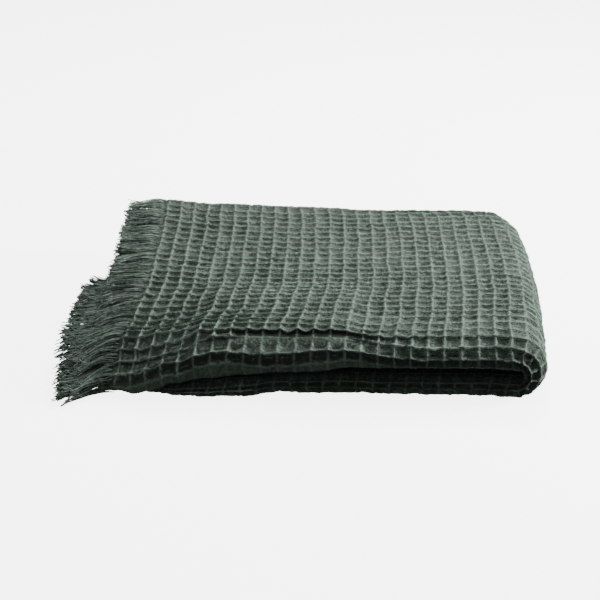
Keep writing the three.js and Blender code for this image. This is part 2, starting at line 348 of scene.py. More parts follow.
    @cached_property
    def spans(self) -> tuple[Span, ...]:
        """The section's flats and turns, from the top edge inwards."""
        low, second, third, top = [n * self.inner_turn for n in (1, 3, 5, 7)]
        middle, outer, inner = self.pack_height / 2, self.outer_turn, self.inner_turn
        half_turn = math.pi * inner
        return (
            Span(self.back_edge, self.back_edge, top, 1, direction=-1),
            Span(math.pi * outer, 0.0, middle, 1, radius=outer, side=-1, climb=-1),
            Span(self.back_fold, 0.0, low, -1, direction=1),
            Span(half_turn, self.back_fold, self.double_pitch, 1, radius=inner, side=1, climb=1),
            Span(self.back_fold - self.inner_fold, self.back_fold, second, 1, direction=-1),
            Span(half_turn, self.inner_fold, middle, -1, radius=inner, side=-1, climb=1),
            Span(self.inner_edge - self.inner_fold, self.inner_fold, third, -1, direction=1),
        )

    @cached_property
    def span_ends(self) -> tuple[float, ...]:
        """Length from the top edge to the start of each span, and to the last one's end."""
        return tuple(np.concatenate(([0.0], np.cumsum([span.length for span in self.spans]))))

    def section(self, u: Floats) -> tuple[Floats, Floats, Floats, Floats]:
        """Middle of the doubled cloth across the pack.

        Args:
            u: length across the cloth from the top edge.

        Returns:
            Place across, height, and the normal's two parts.
        """
        index = np.clip(np.searchsorted(self.span_ends, u, side="left") - 1, 0, len(self.spans) - 1)
        found = [np.empty_like(u) for _ in range(4)]
        for number, span in enumerate(self.spans):
            here = index == number
            for part, values in zip(found, span.at(u[here] - self.span_ends[number])):
                part[here] = values
        return tuple(found)

    def run(self, v: Floats) -> tuple[Floats, Floats, Floats, Floats]:
        """Place along the pack and level in the doubled cloth.

        Args:
            v: length along the cloth from its first short edge.

        Returns:
            Place along, level, and the normal's two parts.
        """
        angle = np.clip((v - self.run_length) / self.end_turn, 0.0, math.pi)
        past = np.maximum(0.0, v - self.run_length - self.end_length)
        before = np.minimum(v, self.run_length)
        lean, up = np.sin(angle), np.cos(angle)
        return before + self.end_turn * lean - past, self.end_turn * up, lean, up

    def bend(self, s: Floats, w: Floats) -> tuple[Floats, Floats, Floats]:
        """Bends the pack once over itself.

        Args:
            s: place along the pack.
            w: height in it.

        Returns:
            Place along, height over the floor, and the share that belongs to the upper pack.
        """
        centre = self.pack_height + self.pack_gap / 2 - self.floor_lift
        radius = self.pack_gap / 2 + w
        angle = np.clip((s - self.bend_start) / self.bend_radius, 0.0, math.pi)
        before = np.minimum(s, self.bend_start)
        past = np.maximum(0.0, s - self.bend_start - self.bend_length)
        upper = (1 + np.cos(angle)) / 2
        return before + radius * np.sin(angle) - past, centre + radius * np.cos(angle), upper

    def settle(self, x: Floats, y: Floats, z: Floats, w: Floats, upper: Floats) -> Floats:
        """Lets the pack come to rest: rolls puff and creep, the fringe droops, the cross lines bow.

        Args:
            x: place along.
            y: place across.
            z: height over the floor.
            w: height in the pack.
            upper: the share that belongs to the upper pack.

        Returns:
            Points in metres, one row each, about the part's origin.
        """
        front = 1 - ease(0, self.front_fade, y)
        fall = 1 - ease(self.fall_start, self.fall_fade, y)
        back = ease(self.back_edge - self.back_fade, self.back_edge, y)
        share = (w - self.floor_lift) / self.cloth_height
        lower_height = mix(self.cloth_height, self.front.read("lower", x), front)
        lip = mix(self.upper_floor, self.front.read("lip", x), front)
        surface = -fall * self.front.read("drop", x) + back * self.back.read("rise", x)
        surface = surface + window(*self.crown_reach, x) * self.crown.read("rise", y)
        surface = surface - (1 - ease(*self.slump_fade, y)) * self.slump.read("fall", x)
        hang = (1 - share) * (1 - ease(*self.sag_fade, y)) * self.front.read("sag", x)
        upper_rise = mix(lip - self.upper_floor, surface, share) - hang
        lower_rise = (1 - share) * (lower_height - self.cloth_height)
        out = mix(self.front.read("lower_out", x), self.front.read("upper_out", x), upper)
        fringe_bow, bend_bow = self.across.read("fringe_bow", y), self.across.read("bend_bow", y)
        bow = mix(fringe_bow, bend_bow, ease(0, self.bow_end, x))
        corner_end = self.bend_start + self.corner_past
        corner = self.across.read("corner", y) * ease(self.corner_start, corner_end, x)
        near = 1 - ease(*self.nose_fade, y)
        low_part = ease(*self.press_start, share) * (1 - ease(*self.press_share, share))
        press = near * low_part * self.nose.read("press", x)
        lift = near * (1 - share) ** 2 * self.nose.read("lip_lift", x)
        shelf = 1 - ease(*self.shelf_fade, y)
        shelf_rise = shelf * window(*self.shelf_top, share) * self.shelf.read("rise", x)
        upper_rise = upper_rise - press + lift + shelf_rise
        slit = self.slit_push * (1 - share) * (1 - ease(*self.slit_fade, y))
        shelf = shelf * (1 - ease(*self.shelf_share, share)) * upper * self.shelf.read("push", x)
        x = x + slit * ease(self.slit_start, self.bend_start, x)
        beyond = np.maximum(0.0, -x / self.fringe_length)
        tip = mix(1.0, self.across.read("tip", y), beyond)
        splay = beyond**2 * self.across.read("splay", y)
        return MM * np.stack(
            (
                x + bow + corner - self.centre_x,
                y - fall * out - shelf + back * self.back.read("out", x) + splay - self.centre_y,
                (z + mix(lower_rise, upper_rise, upper)) * tip,
            ),
            axis=-1,
        )

    def place(self, u: Floats, s: Floats, k: Floats) -> Floats:
        """Points of the pack.

        Args:
            u: length across the cloth.
            s: place along the pack.
            k: level over the middle of the doubled cloth.

        Returns:
            Points in metres, one row each.
        """
        y, w, normal_y, normal_w = self.section(u)
        level = w + k * normal_w
        x, z, upper = self.bend(s, level)
        return self.settle(x, y + k * normal_y, z, level, upper)

    def place_on_cloth(self, u: Floats, v: Floats, offset: Floats) -> Floats:
        """Points of the cloth itself.

        Args:
            u: length across it.
            v: length along it.
            offset: height over the middle of its ply, outwards.

        Returns:
            Points in metres, one row each.
        """
        s, k, lean, up = self.run(v)
        return self.place(u, s + offset * lean, k + offset * up)

    def place_relief(self, u: Floats, v: Floats, skin: Floats, relief: Floats) -> Floats:
        """Points of one skin of the cloth with relief raised square to the settled surface.

        Args:
            u: length across it.
            v: length along it.
            skin: the plain skin's height over the middle of its ply, outwards.
            relief: height over that skin.

        Returns:
            Points in metres, one row each.
        """
        reach = self.normal_reach
        base = self.place_on_cloth(u, v, skin)
        across = self.place_on_cloth(u + reach, v, skin) - self.place_on_cloth(u - reach, v, skin)
        along = self.place_on_cloth(u, v + reach, skin) - self.place_on_cloth(u, v - reach, skin)
        outwards = self.place_on_cloth(u, v, skin + reach) - base
        normal = np.cross(across, along)
        normal = normal * np.sign(np.sum(normal * outwards, axis=1, keepdims=True))
        normal = normal / np.maximum(np.linalg.norm(normal, axis=1, keepdims=True), 1e-12)
        return base + MM * np.asarray(relief)[:, None] * normal


@dataclass(frozen=True)
class CellScale:
    """Where the waffle's cell lines fall along one direction of the cloth."""

    cells: tuple[float, ...]
    places: tuple[float, ...]

    def at(self, cell: Floats) -> Floats:
        """Length along the cloth at a cell coordinate, in millimetres."""
        return np.interp(cell, self.cells, self.places)

    def cell(self, place: float) -> float:
        """Cell coordinate at a length along the cloth."""
        return float(np.interp(place, self.places, self.cells))


@dataclass(frozen=True)
class BlockLines:
    """Lines that part the cloth's mesh into blocks, in cells, and each block's finer lines."""

    edges: Floats
    shares: tuple[tuple[float, ...], ...]

    @cached_property
    def first(self) -> Floats:
        """Number of the fine line on which each block starts, and of the last line."""
        return np.concatenate(([0], np.cumsum([len(shares) for shares in self.shares])))

    @cached_property
    def fine(self) -> Floats:
        """Every fine line, in cells."""
        blocks = zip(self.edges, self.edges[1:], self.shares)
        found = [mix(start, end, np.array(shares)) for start, end, shares in blocks]
        return np.concatenate((*found, self.edges[-1:]))

    @property
    def count(self) -> int:
        """How many blocks there are."""
        return len(self.shares)


@dataclass
class SheetMesh:
    """Closed mesh of a thin sheet: a grid's blocks on two skins, carved finely only where it shows."""

    across: BlockLines
    along: BlockLines
    rest: Floats
    spots: list[tuple[float, float, int]] = field(default_factory=list)
    faces: list[tuple[int, ...]] = field(default_factory=list)

    def numbers(self, skin: Skin, rim: Floats | None) -> Floats:
        """Numbers the fine lines' crossings that this skin uses.

        Args:
            skin: which face of the sheet.
            rim: crossings that the other skin uses, to meet it along the rim.

        Returns:
            A number for each crossing, -1 where there is no point.
        """
        used = np.zeros((len(self.across.fine), len(self.along.fine)), bool)
        used[np.ix_(self.across.first, self.along.first)] = True
        if rim is None:
            for i, j in zip(*np.nonzero(self.rest == Rest.CARVED.value)):
                rows = slice(self.across.first[i], self.across.first[i + 1] + 1)
                used[rows, self.along.first[j] : self.along.first[j + 1] + 1] = True
        else:
            for edge in (np.s_[0, :], np.s_[-1, :], np.s_[:, 0], np.s_[:, -1]):
                used[edge] = rim[edge] >= 0
        found = np.full(used.shape, -1)
        found[used] = len(self.spots) + np.arange(int(used.sum()))
        rows, columns = np.nonzero(used)
        places = zip(self.across.fine[rows], self.along.fine[columns])
        self.spots.extend((a, b, skin.value) for a, b in places)
        return found

    def block(self, numbers: Floats, i: int, j: int, skin: Skin) -> None:
        """Adds the faces of one block.

        Args:
            numbers: the skin's crossings.
            i: block across.
            j: block along.
            skin: which face of the sheet.
        """
        top, bottom = self.across.first[i], self.across.first[i + 1]
        left, right = self.along.first[j], self.along.first[j + 1]
        turn = -1 if skin is Skin.INNER else 1
        if skin is Skin.OUTER and self.rest[i, j] == Rest.CARVED.value:
            patch = numbers[top : bottom + 1, left : right + 1]
            corners = (patch[:-1, :-1], patch[1:, :-1], patch[1:, 1:], patch[:-1, 1:])
            self.faces.extend(map(tuple, np.stack(corners, -1).reshape(-1, 4).tolist()))
            return
        loop = [*numbers[top : bottom + 1, left], *numbers[bottom, left + 1 : right + 1]]
        loop += [*numbers[top:bottom, right][::-1], *numbers[top, left + 1 : right][::-1]]
        loop = [int(number) for number in loop if number >= 0][::turn]
        dimpled = skin is Skin.OUTER and self.rest[i, j] == Rest.DIMPLED.value
        if len(loop) == 4 and not dimpled:
            self.faces.append(tuple(loop))
            return
        middle = len(self.spots)
        lines = ((self.across.edges, i), (self.along.edges, j))
        centre = [(edges[n] + edges[n + 1]) / 2 for edges, n in lines]
        self.spots.append((*centre, skin.value))
        self.faces.extend((a, b, middle) for a, b in zip(loop, loop[1:] + loop[:1]))

    def rim(self, outer: Floats, inner: Floats) -> None:
        """Closes the sheet's edges with a rounded rim.

        Args:
            outer: the outer skin's crossings.
            inner: the inner skin's.
        """
        loops = []
        for numbers in (outer, inner):
            loop = [*numbers[:-1, 0], *numbers[-1, :-1], *numbers[:0:-1, -1], *numbers[0, :0:-1]]
            loops.append([int(number) for number in loop if number >= 0])
        middle = [len(self.spots) + step for step in range(len(loops[0]))]
        self.spots.extend((*self.spots[number][:2], 0) for number in loops[0])
        for first, second in ((loops[0], middle), (middle, loops[1])):
            ahead = zip(first, second, second[1:] + second[:1], first[1:] + first[:1])
            self.faces.extend(ahead)

    def build(self) -> tuple[Floats, list[tuple[int, ...]]]:
        """Makes the sheet.

        Returns:
            A row for each point, with its two cell coordinates and its skin, and the faces.
        """
        outer = self.numbers(Skin.OUTER, None)
        inner = self.numbers(Skin.INNER, outer)
        for i in range(self.across.count):
            for j in range(self.along.count):
                self.block(outer, i, j, Skin.OUTER)
                self.block(inner, i, j, Skin.INNER)
        self.rim(outer, inner)
        return np.array(self.spots, float), self.faces


@dataclass
class WaffleCloth:
    """The throw's woven cloth: cell lines, carved relief and its mesh, in millimetres."""

    pack: FoldedPack
    name: str = "waffle_cloth"
    cell_across: float = 14.4
    cell_along: float = 15.0
    top_rows: tuple[int, int] = (13, 25)
    row_change: float = 178.0
    top_sway: ShapeTable = ShapeTable(
        ("cell", "rows"),
        ((0, 0), (2, 0.2), (4, 0.5), (8.5, 0.5), (12.5, 0.25), (19, -0.45), (23.5, -1.1)),
    )
    front_knots: tuple[float, ...] = (22.0, 23.0, 24.0, 25.0, 26.0, 27.0, 28.0, 31.0)
    front_sway: ShapeTable = ShapeTable(
        ("cell", "row_23", "row_24", "row_25", "row_26", "row_27", "row_28"),
        (
            (0, -0.5, -0.7, -0.7, -0.7, -0.8, -0.9),
            (4, -0.5, -0.6, -0.3, -0.1, -0.5, -0.9),
            (6, 0, -0.1, -0.1, -0.5, -0.65, -1.1),
            (9.5, 0.15, 0.35, 0.2, -0.35, -0.45, -0.9),
            (13, 0.6, 0.75, 0.35, -0.25, -0.5, -0.9),
            (19, 0, 0.1, 0.15, 0.2, 0, -0.4),
            (22.5, -0.5, -0.5, -0.1, 0, -0.1, -0.4),
        ),
    )
    front_rows: float = 3.8
    header_cells: float = 0.9
    header_relief: float = 0.3
    crest: float = 1.3
    pit: float = 2.1
    hidden_pit: float = 0.5
    deep: ShapeTable = ShapeTable(
        ("row", "corner", "left", "right"),
        (
            (14, 1.1, 1.1, 1.1),
            (18, 1.15, 1.05, 1.1),
            (22, 1.35, 1.1, 1.1),
            (24.9, 1.6, 0.9, 1.0),
            (25.25, 1.6, 2.6, 1.6),
            (25.8, 1.6, 2.5, 1.7),
            (26.1, 1.6, 0.8, 1.7),
            (26.9, 1.6, 0.9, 1.7),
            (27.3, 1.7, 1.7, 1.7),
        ),
    )
    corner_change: tuple[float, float] = (4.0, 7.5)
    deep_change: tuple[float, float] = (13.0, 17.0)
    least_carved: float = 0.04
    long_width: tuple[float, float] = (0.23, 0.07)
    cross_width: tuple[float, float] = (0.19, 0.05)
    long_height: tuple[float, float] = (0.9, 0.16)
    cross_height: tuple[float, float] = (0.95, 0.25)
    long_share: float = 0.7
    pit_roughness: float = 0.16
    brow_rows: tuple[float, float, float] = (24.8, 25.2, 0.5)
    brow_cells: tuple[float, float, float] = (3.0, 17.0, 3.0)
    sway_cells: tuple[float, float, float] = (1.5, 21.5, 2.5)
    still_share: float = 0.3
    inner_depth: float = 0.7
    wander: float = 0.075
    jitter: float = 0.045
    sag: float = 0.09
    brow_sag: float = 0.16
    rim_swell: float = 0.5
    row_lines: tuple[float, ...] = (0.0, 0.08, 0.2, 0.38, 0.62, 0.8, 0.92)
    ridge_lines: tuple[float, ...] = (0.0, 0.06, 0.14, 0.3, 0.5, 0.7, 0.86, 0.94)
    turn_lines: tuple[float, ...] = (0.0, 1 / 3, 2 / 3)

    @cached_property
    def across_scale(self) -> CellScale:
        """Cells across the cloth; a turn's cells keep their size on the outer skin."""
        pack = self.pack
        skin = pack.ply_pitch / 2 + pack.ply_thickness / 2
        tight = (pack.inner_turn + skin) / pack.inner_turn
        steps = [span.length / self.cell_across for span in pack.spans]
        steps[0], steps[1], steps[3] = self.top_rows[1], self.front_rows, steps[3] * tight
        cells = np.round(np.concatenate(([0.0, self.top_rows[0]], np.cumsum(steps))), 6)
        return CellScale(tuple(cells), (0.0, self.row_change, *pack.span_ends[1:]))

    @cached_property
    def span_cells(self) -> tuple[float, ...]:
        """Cell coordinates at the ends of the section's spans."""
        cells = self.across_scale.cells
        return (cells[0], *cells[2:])

    @cached_property
    def along_scale(self) -> CellScale:
        """Cells along the cloth; the bend's cells keep their size on the outer skin."""
        pack = self.pack
        skin = pack.pack_gap / 2 + pack.pack_height - pack.floor_lift
        leg, bend, low = pack.bend_start, pack.bend_length, pack.bend_start - pack.end_fold
        lengths = [leg, bend, low, pack.end_length, low, bend, leg]
        steps = [length / self.cell_along for length in lengths]
        steps[1] *= skin / pack.bend_radius
        lengths, steps = [*lengths, pack.header], [*steps, self.header_cells]
        places = np.concatenate(([-pack.header, 0.0], np.cumsum(lengths)))
        cells = np.concatenate(([-self.header_cells, 0.0], np.cumsum(steps)))
        return CellScale(tuple(cells), tuple(places))

    @cached_property
    def across_lines(self) -> BlockLines:
        """Blocks across: whole cells on the flats, quarters of the tight turns."""
        ends = self.span_cells
        edges = [*range(int(ends[2]) + 2)]
        edges += [*range(edges[-1] + 1, int(ends[3]) + 1)]
        edges += [*np.linspace(ends[3], ends[4], 5)]
        edges += [ends[4] + step for step in range(1, int(ends[5] - ends[4]) + 1)]
        edges += [*np.linspace(ends[5], ends[6], 5)]
        edges += [ends[6] + step for step in range(1, int(ends[7] - ends[6]) + 1)] + [ends[7]]
        edges = np.array(edges, float)
        turn = (edges[:-1] >= ends[3]) & (edges[:-1] < ends[4] - 1e-9)
        shares = tuple(self.turn_lines if tight else self.row_lines for tight in turn)
        return BlockLines(edges, shares)

    @cached_property
    def along_lines(self) -> BlockLines:
        """Blocks along: whole cells out, and the same lines back on the inner pass."""
        pack, scale = self.pack, self.along_scale
        out = [scale.cells[0], *map(float, range(int(scale.cells[4]) + 1)), scale.cells[4]]
        turn = [*np.linspace(scale.cells[4], scale.cells[5], 5)][1:]
        total = 2 * pack.run_length + pack.end_length
        back = [scale.cell(total - float(scale.at(cell))) for cell in out[:-1]][::-1]
        edges = np.array([*out, *turn, *back])
        return BlockLines(edges, tuple(self.ridge_lines for _ in edges[1:]))

    def carved(self, a: Floats, b: Floats) -> Floats:
        """How fully the relief is carved at a place: 1 where it shows, 0 where layers press on it.

        Args:
            a: cell coordinate across.
            b: cell coordinate along.

        Returns:
            The share between 0 and 1.
        """
        ends, runs = self.span_cells, self.along_scale.cells
        first = (1 - ease(runs[4] - 0.6, runs[4], b)) * mix(self.header_relief, 1, ease(-0.35, 0, b))
        top = (1 - ease(ends[2] - 0.9, ends[2] - 0.1, a)) * (1 - ease(runs[3] - 1.6, runs[3] - 0.2, b))
        roll = window(ends[1] + 1.0, ends[2] - 1.0, 0.8, a)
        rear = window(ends[3] - 0.1, ends[4] + 0.1, 0.8, a)
        return first * np.maximum(np.maximum(top, roll), 0.8 * rear)

    def rest(self) -> Floats:
        """How each block of the outer skin is divided, one entry for each block."""
        across, along = self.across_lines.edges, self.along_lines.edges
        share = self.carved(across[:, None], along[None, :])
        share = np.maximum(share[:-1], share[1:])
        share = np.maximum(share[:, :-1], share[:, 1:])
        half_a, half_b = (across[:-1] + across[1:]) / 2, (along[:-1] + along[1:]) / 2
        middle = self.carved(half_a[:, None], half_b[None, :])
        shown = np.maximum(share, middle) > self.least_carved
        found = np.full(shown.shape, Rest.PLAIN.value, dtype=object)
        runs = self.along_scale.cells
        found[: int(self.span_cells[1]), int(runs[3]) + 1 : int(runs[4]) + 1] = Rest.DIMPLED.value
        found[shown] = Rest.CARVED.value
        return found

    def relief(self, a: Floats, b: Floats) -> Floats:
        """Height of the weave's relief: 1 on the ridges round a cell, 0 at the bottom of its pit.

        Args:
            a: cell coordinate across.
            b: cell coordinate along.

        Returns:
            The height between 0 and about 1.1.
        """
        off_a, off_b = np.abs(a - np.round(a)), np.abs(b - np.round(b))
        on_ridge, on_cross = np.round(b) + 0.5, np.round(a) + 0.5
        thick = vary(self.long_width, LatticeNoise(11).at(a * 0.7, on_ridge))
        thin = vary(self.cross_width, LatticeNoise(12).at(on_cross, b * 0.7))
        high = vary(self.long_height, LatticeNoise(13).at(a * 0.8, on_ridge))
        low = vary(self.cross_height, LatticeNoise(14).at(on_cross, np.floor(b) + 0.5))
        long_ridge = self.long_share * high * (1 - ease(0.0, thick, off_b))
        cross_ridge = low * (1 - ease(0.01, thin, off_a))
        floor = self.pit_roughness * LatticeNoise(15).at(a * 2.3, b * 2.3)
        floor = floor + self.pit_roughness * LatticeNoise(16).at(a * 7.1, b * 7.3)
        return 1 - (1 - long_ridge) * (1 - cross_ridge) + floor * (1 - long_ridge)

    def stray(self, a: Floats, b: Floats) -> tuple[Floats, Floats]:
        """How far the woven lines stray from straight, in cells.

        Args:
            a: cell coordinate across.
            b: cell coordinate along.

        Returns:
            The shifts across and along.
        """
        sway = LatticeNoise(21).at(a * 0.45, b * 0.3) + 0.5 * LatticeNoise(22).at(a * 0.9, b * 0.8)
        weave = LatticeNoise(23).at(a * 0.3, b * 0.4) + 0.5 * LatticeNoise(24).at(a * 0.8, b * 0.9)
        dip = 0.5 + 1.1 * LatticeNoise(25).at(np.round(a) + 0.5, np.floor(b) + 0.5)
        brow = self.brow_sag * window(*self.brow_rows, a) * window(*self.brow_cells, b)
        sag = (self.sag * dip + brow * (0.5 + 0.55 * dip)) * np.sin(math.pi * (b - np.floor(b)))
        fine = self.jitter * LatticeNoise(26).at(a * 3.1, b * 3.1)
        return self.wander * weave + sag + fine, self.wander * sway + fine

    def drift(self, a: Floats, b: Floats) -> Floats:
        """How far whole rows lie from even spacing on the settled throw, in cells.

        Args:
            a: cell coordinate across.
            b: cell coordinate along.

        Returns:
            The shift across.
        """
        total = self.top_sway.read("rows", b) * window(*self.sway_cells, a)
        front = [self.front_sway.read(column, b) for column in self.front_sway.columns[1:]]
        still = np.zeros_like(b)
        knots = zip(self.front_knots, self.front_knots[1:], [still, *front], [*front, still])
        for low, high, start, end in knots:
            rows = mix(start, end, (a - low) / (high - low))
            total = total + np.where((a >= low) & (a < high), rows, 0.0)
        return total

    def shape(self, spots: Floats) -> Floats:
        """Places the sheet's points.

        Args:
            spots: cell coordinates and skin of each point.

        Returns:
            Points in metres.
        """
        a, b, skin = spots.T
        carved = self.carved(a, b)
        height = self.relief(a, b)
        ends, runs = self.span_cells, self.along_scale.cells
        floor_side = ease(runs[3] - 1.0, runs[3], b)
        crest = self.crest * (1 - floor_side * (1 - window(ends[1] + 1.2, ends[1] + 2.6, 0.8, a)))
        corner, left, right = (self.deep.read(column, a) for column in self.deep.columns[1:])
        depth = mix(corner, left, ease(*self.corner_change, b))
        depth = mix(depth, right, ease(*self.deep_change, b))
        shown = mix(-self.pit * depth, crest, height)
        hidden = -self.hidden_pit * (1 - height)
        half = self.pack.ply_thickness / 2
        inner = -self.pit * carved * np.maximum(0.0, depth - self.inner_depth) * (skin < 0)
        height = np.where(skin > 0, mix(hidden, shown, carved), inner)
        shift_a, shift_b = self.stray(a, b)
        inside = window(0.3, ends[-1] - 0.3, 0.3, a)
        moving = np.maximum(carved, self.still_share)
        u = self.across_scale.at(a + inside * (self.drift(a, b) + shift_a * moving))
        v = self.along_scale.at(b) + self.cell_along * shift_b * moving
        swell = self.rim_swell * (skin == 0)
        u = u + swell * np.where(a <= 0, -1, np.where(a >= ends[-1], 1, 0))
        first, last = self.along_lines.edges[[0, -1]]
        v = np.clip(v, *self.along_scale.places[:: len(runs) - 1])
        v = v + swell * np.where(b <= first, -1, np.where(b >= last, 1, 0))
        points = self.pack.place_relief(u, v, half * skin, height)
        points[:, 2] = np.maximum(points[:, 2], 0.0)
        return points

    def build(self, finish: bpy.types.Material) -> bpy.types.Object:
        """Makes the cloth's piece.

        Args:
            finish: the woven finish.

        Returns:
            The piece, in place of the plain solid.
        """
        sheet = SheetMesh(self.across_lines, self.along_lines, self.rest())
        spots, faces = sheet.build()
        piece = make_piece(self.name, self.shape(spots), faces, finish)
        cells = piece.data.uv_layers.new(name="cells")
        corners = np.empty(len(piece.data.loops), int)
        piece.data.loops.foreach_get("vertex_index", corners)
        cells.data.foreach_set("uv", spots[corners][:, [1, 0]].astype(np.float32).ravel())
        return piece


def make_piece(
    name: str, points: Floats, faces: Sequence[tuple[int, ...]], finish: bpy.types.Material
) -> bpy.types.Object:
    """Makes a smooth mesh object at the origin.

    Args:
        name: the piece's name.
        points: its points in metres.
        faces: its faces.
        finish: its material.

    Returns:
        The object, linked to the scene.
    """
    mesh = bpy.data.meshes.new(name)
    mesh.from_pydata(points.tolist(), [], faces)
    mesh.validate()
    mesh.shade_smooth()
    mesh.materials.append(finish)
    piece = bpy.data.objects.new(name, mesh)
    bpy.context.scene.collection.objects.link(piece)
    return piece


@dataclass(frozen=True)
class YarnTree:
    """Geometry Nodes that sweep a round, slightly wavy yarn along every edge path of a mesh."""

    name: str = "swept yarns"
    inputs: tuple[tuple[str, str, float], ...] = (
        ("Yarn radius", "NodeSocketFloat", 0.00055),
        ("Sides", "NodeSocketInt", 5),
        ("Waviness", "NodeSocketFloat", 0.0006),
        ("Wave scale", "NodeSocketFloat", 160.0),
        ("Seed", "NodeSocketFloat", 3.0),
    )

    def node(
        self, tree: bpy.types.NodeTree, kind: str, settings: dict[str, Any], inputs: dict[Any, Any]
    ) -> Any:
        """Adds a node.

        Args:
            tree: the tree it goes into.
            kind: its type.
            settings: properties that are set first.
            inputs: values or links of its sockets.

        Returns:
            The node.
        """
        return add_node(tree, kind, settings, inputs)

    def build(self, finish: bpy.types.Material) -> tuple[bpy.types.NodeTree, dict[str, str]]:
        """Makes the tree.

        Args:
            finish: the material that it sets.

        Returns:
            The tree, and the identifier of each named input.
        """
        tree = bpy.data.node_groups.new(self.name, "GeometryNodeTree")
        face = tree.interface
        face.new_socket("Geometry", in_out="INPUT", socket_type="NodeSocketGeometry")
        for name, kind, value in self.inputs:
            socket = face.new_socket(name, in_out="INPUT", socket_type=kind)
            socket.default_value = int(value) if kind == "NodeSocketInt" else value
        face.new_socket("Geometry", in_out="OUTPUT", socket_type="NodeSocketGeometry")
        given = self.node(tree, "NodeGroupInput", {}, {}).outputs
        curve = self.node(tree, "GeometryNodeMeshToCurve", {}, {"Mesh": given["Geometry"]})
        loose, girth = (
            self.node(tree, "GeometryNodeInputNamedAttribute", {"data_type": "FLOAT"}, {"Name": name})
            for name in ("loose", "girth")
        )
        place = self.node(tree, "GeometryNodeInputPosition", {}, {})
        noise = self.node(
            tree,
            "ShaderNodeTexNoise",
            {"noise_dimensions": "4D"},
            {
                "Vector": place.outputs[0],
                "W": given["Seed"],
                "Scale": given["Wave scale"],
                "Detail": 1.0,
            },
        )
        middle = self.node(
            tree,
            "ShaderNodeVectorMath",
            {"operation": "SUBTRACT"},
            {0: noise.outputs["Color"], 1: (0.5, 0.5, 0.5)},
        )
        reach = self.node(
            tree,
            "ShaderNodeMath",
            {"operation": "MULTIPLY"},
            {0: given["Waviness"], 1: loose.outputs[0]},
        )
        wave = self.node(
            tree,
            "ShaderNodeVectorMath",
            {"operation": "SCALE"},
            {"Vector": middle.outputs[0], "Scale": reach.outputs[0]},
        )
        values = {"Geometry": curve.outputs[0], "Offset": wave.outputs[0]}
        moved = self.node(tree, "GeometryNodeSetPosition", {}, values)
        values = {"Curve": moved.outputs[0], "Radius": girth.outputs[0]}
        sized = self.node(tree, "GeometryNodeSetCurveRadius", {}, values)
        ring = self.node(
            tree,
            "GeometryNodeCurvePrimitiveCircle",
            {"mode": "RADIUS"},
            {"Resolution": given["Sides"], "Radius": given["Yarn radius"]},
        )
        swept = self.node(
            tree,
            "GeometryNodeCurveToMesh",
            {},
            {"Curve": sized.outputs[0], "Profile Curve": ring.outputs[0], "Fill Caps": True},
        )
        whole = self.node(tree, "GeometryNodeRealizeInstances", {}, {"Geometry": swept.outputs[0]})
        dressed = self.node(
            tree, "GeometryNodeSetMaterial", {}, {"Geometry": whole.outputs[0], "Material": finish}
        )
        self.node(tree, "NodeGroupOutput", {}, {"Geometry": dressed.outputs[0]})
        names = {item.name: item.identifier for item in face.items_tree if item.in_out == "INPUT"}
        return tree, names


@dataclass
class YarnPaths:
    """Paths that yarns follow, with how thick and how loose each is along the way."""

    points: list[Floats] = field(default_factory=list)
    girths: list[Floats] = field(default_factory=list)
    looseness: list[Floats] = field(default_factory=list)
    tones: list[Floats] = field(default_factory=list)

    def add(self, points: Floats, girth: Floats, loose: Floats, tone: float = 0.0) -> None:
        """Adds one path.

        Args:
            points: its points in metres.
            girth: share of the yarn's radius at each.
            loose: share of the waviness at each.
            tone: how pale the whole yarn is, from -1 to 1.
        """
        self.points.append(points)
        self.girths.append(girth)
        self.looseness.append(loose)
        self.tones.append(np.full(len(points), tone))

    def sweep(
        self, name: str, finish: bpy.types.Material, values: dict[str, float]
    ) -> bpy.types.Object:
        """Turns the paths into a piece of yarns.

        Args:
            name: the piece's name.
            finish: its material.
            values: the tree's named inputs.

        Returns:
            The piece, a plain mesh at the origin.
        """
        starts = np.concatenate(([0], np.cumsum([len(path) for path in self.points])))
        edges = [(n, n + 1) for a, b in zip(starts, starts[1:]) for n in range(a, b - 1)]
        mesh = bpy.data.meshes.new(f"{name}_paths")
        mesh.from_pydata(np.concatenate(self.points).tolist(), edges, [])
        for label, parts in (("girth", self.girths), ("loose", self.looseness), ("tone", self.tones)):
            layer = mesh.attributes.new(label, "FLOAT", "POINT")
            layer.data.foreach_set("value", np.concatenate(parts).astype(np.float32))
        guide = bpy.data.objects.new(f"{name}_guide", mesh)
        bpy.context.scene.collection.objects.link(guide)
        tree, names = YarnTree().build(finish)
        modifier = guide.modifiers.new("yarns", "NODES")
        modifier.node_group = tree
        for label, value in values.items():
            modifier[names[label]] = value
        graph = bpy.context.evaluated_depsgraph_get()
        swept = bpy.data.meshes.new_from_object(guide.evaluated_get(graph))
        guide.modifiers.remove(modifier)
        bpy.data.objects.remove(guide)
        swept.name = name
        swept.shade_smooth()
        if not swept.materials:
            swept.materials.append(finish)
        piece = bpy.data.objects.new(name, swept)
        bpy.context.scene.collection.objects.link(piece)
        return piece


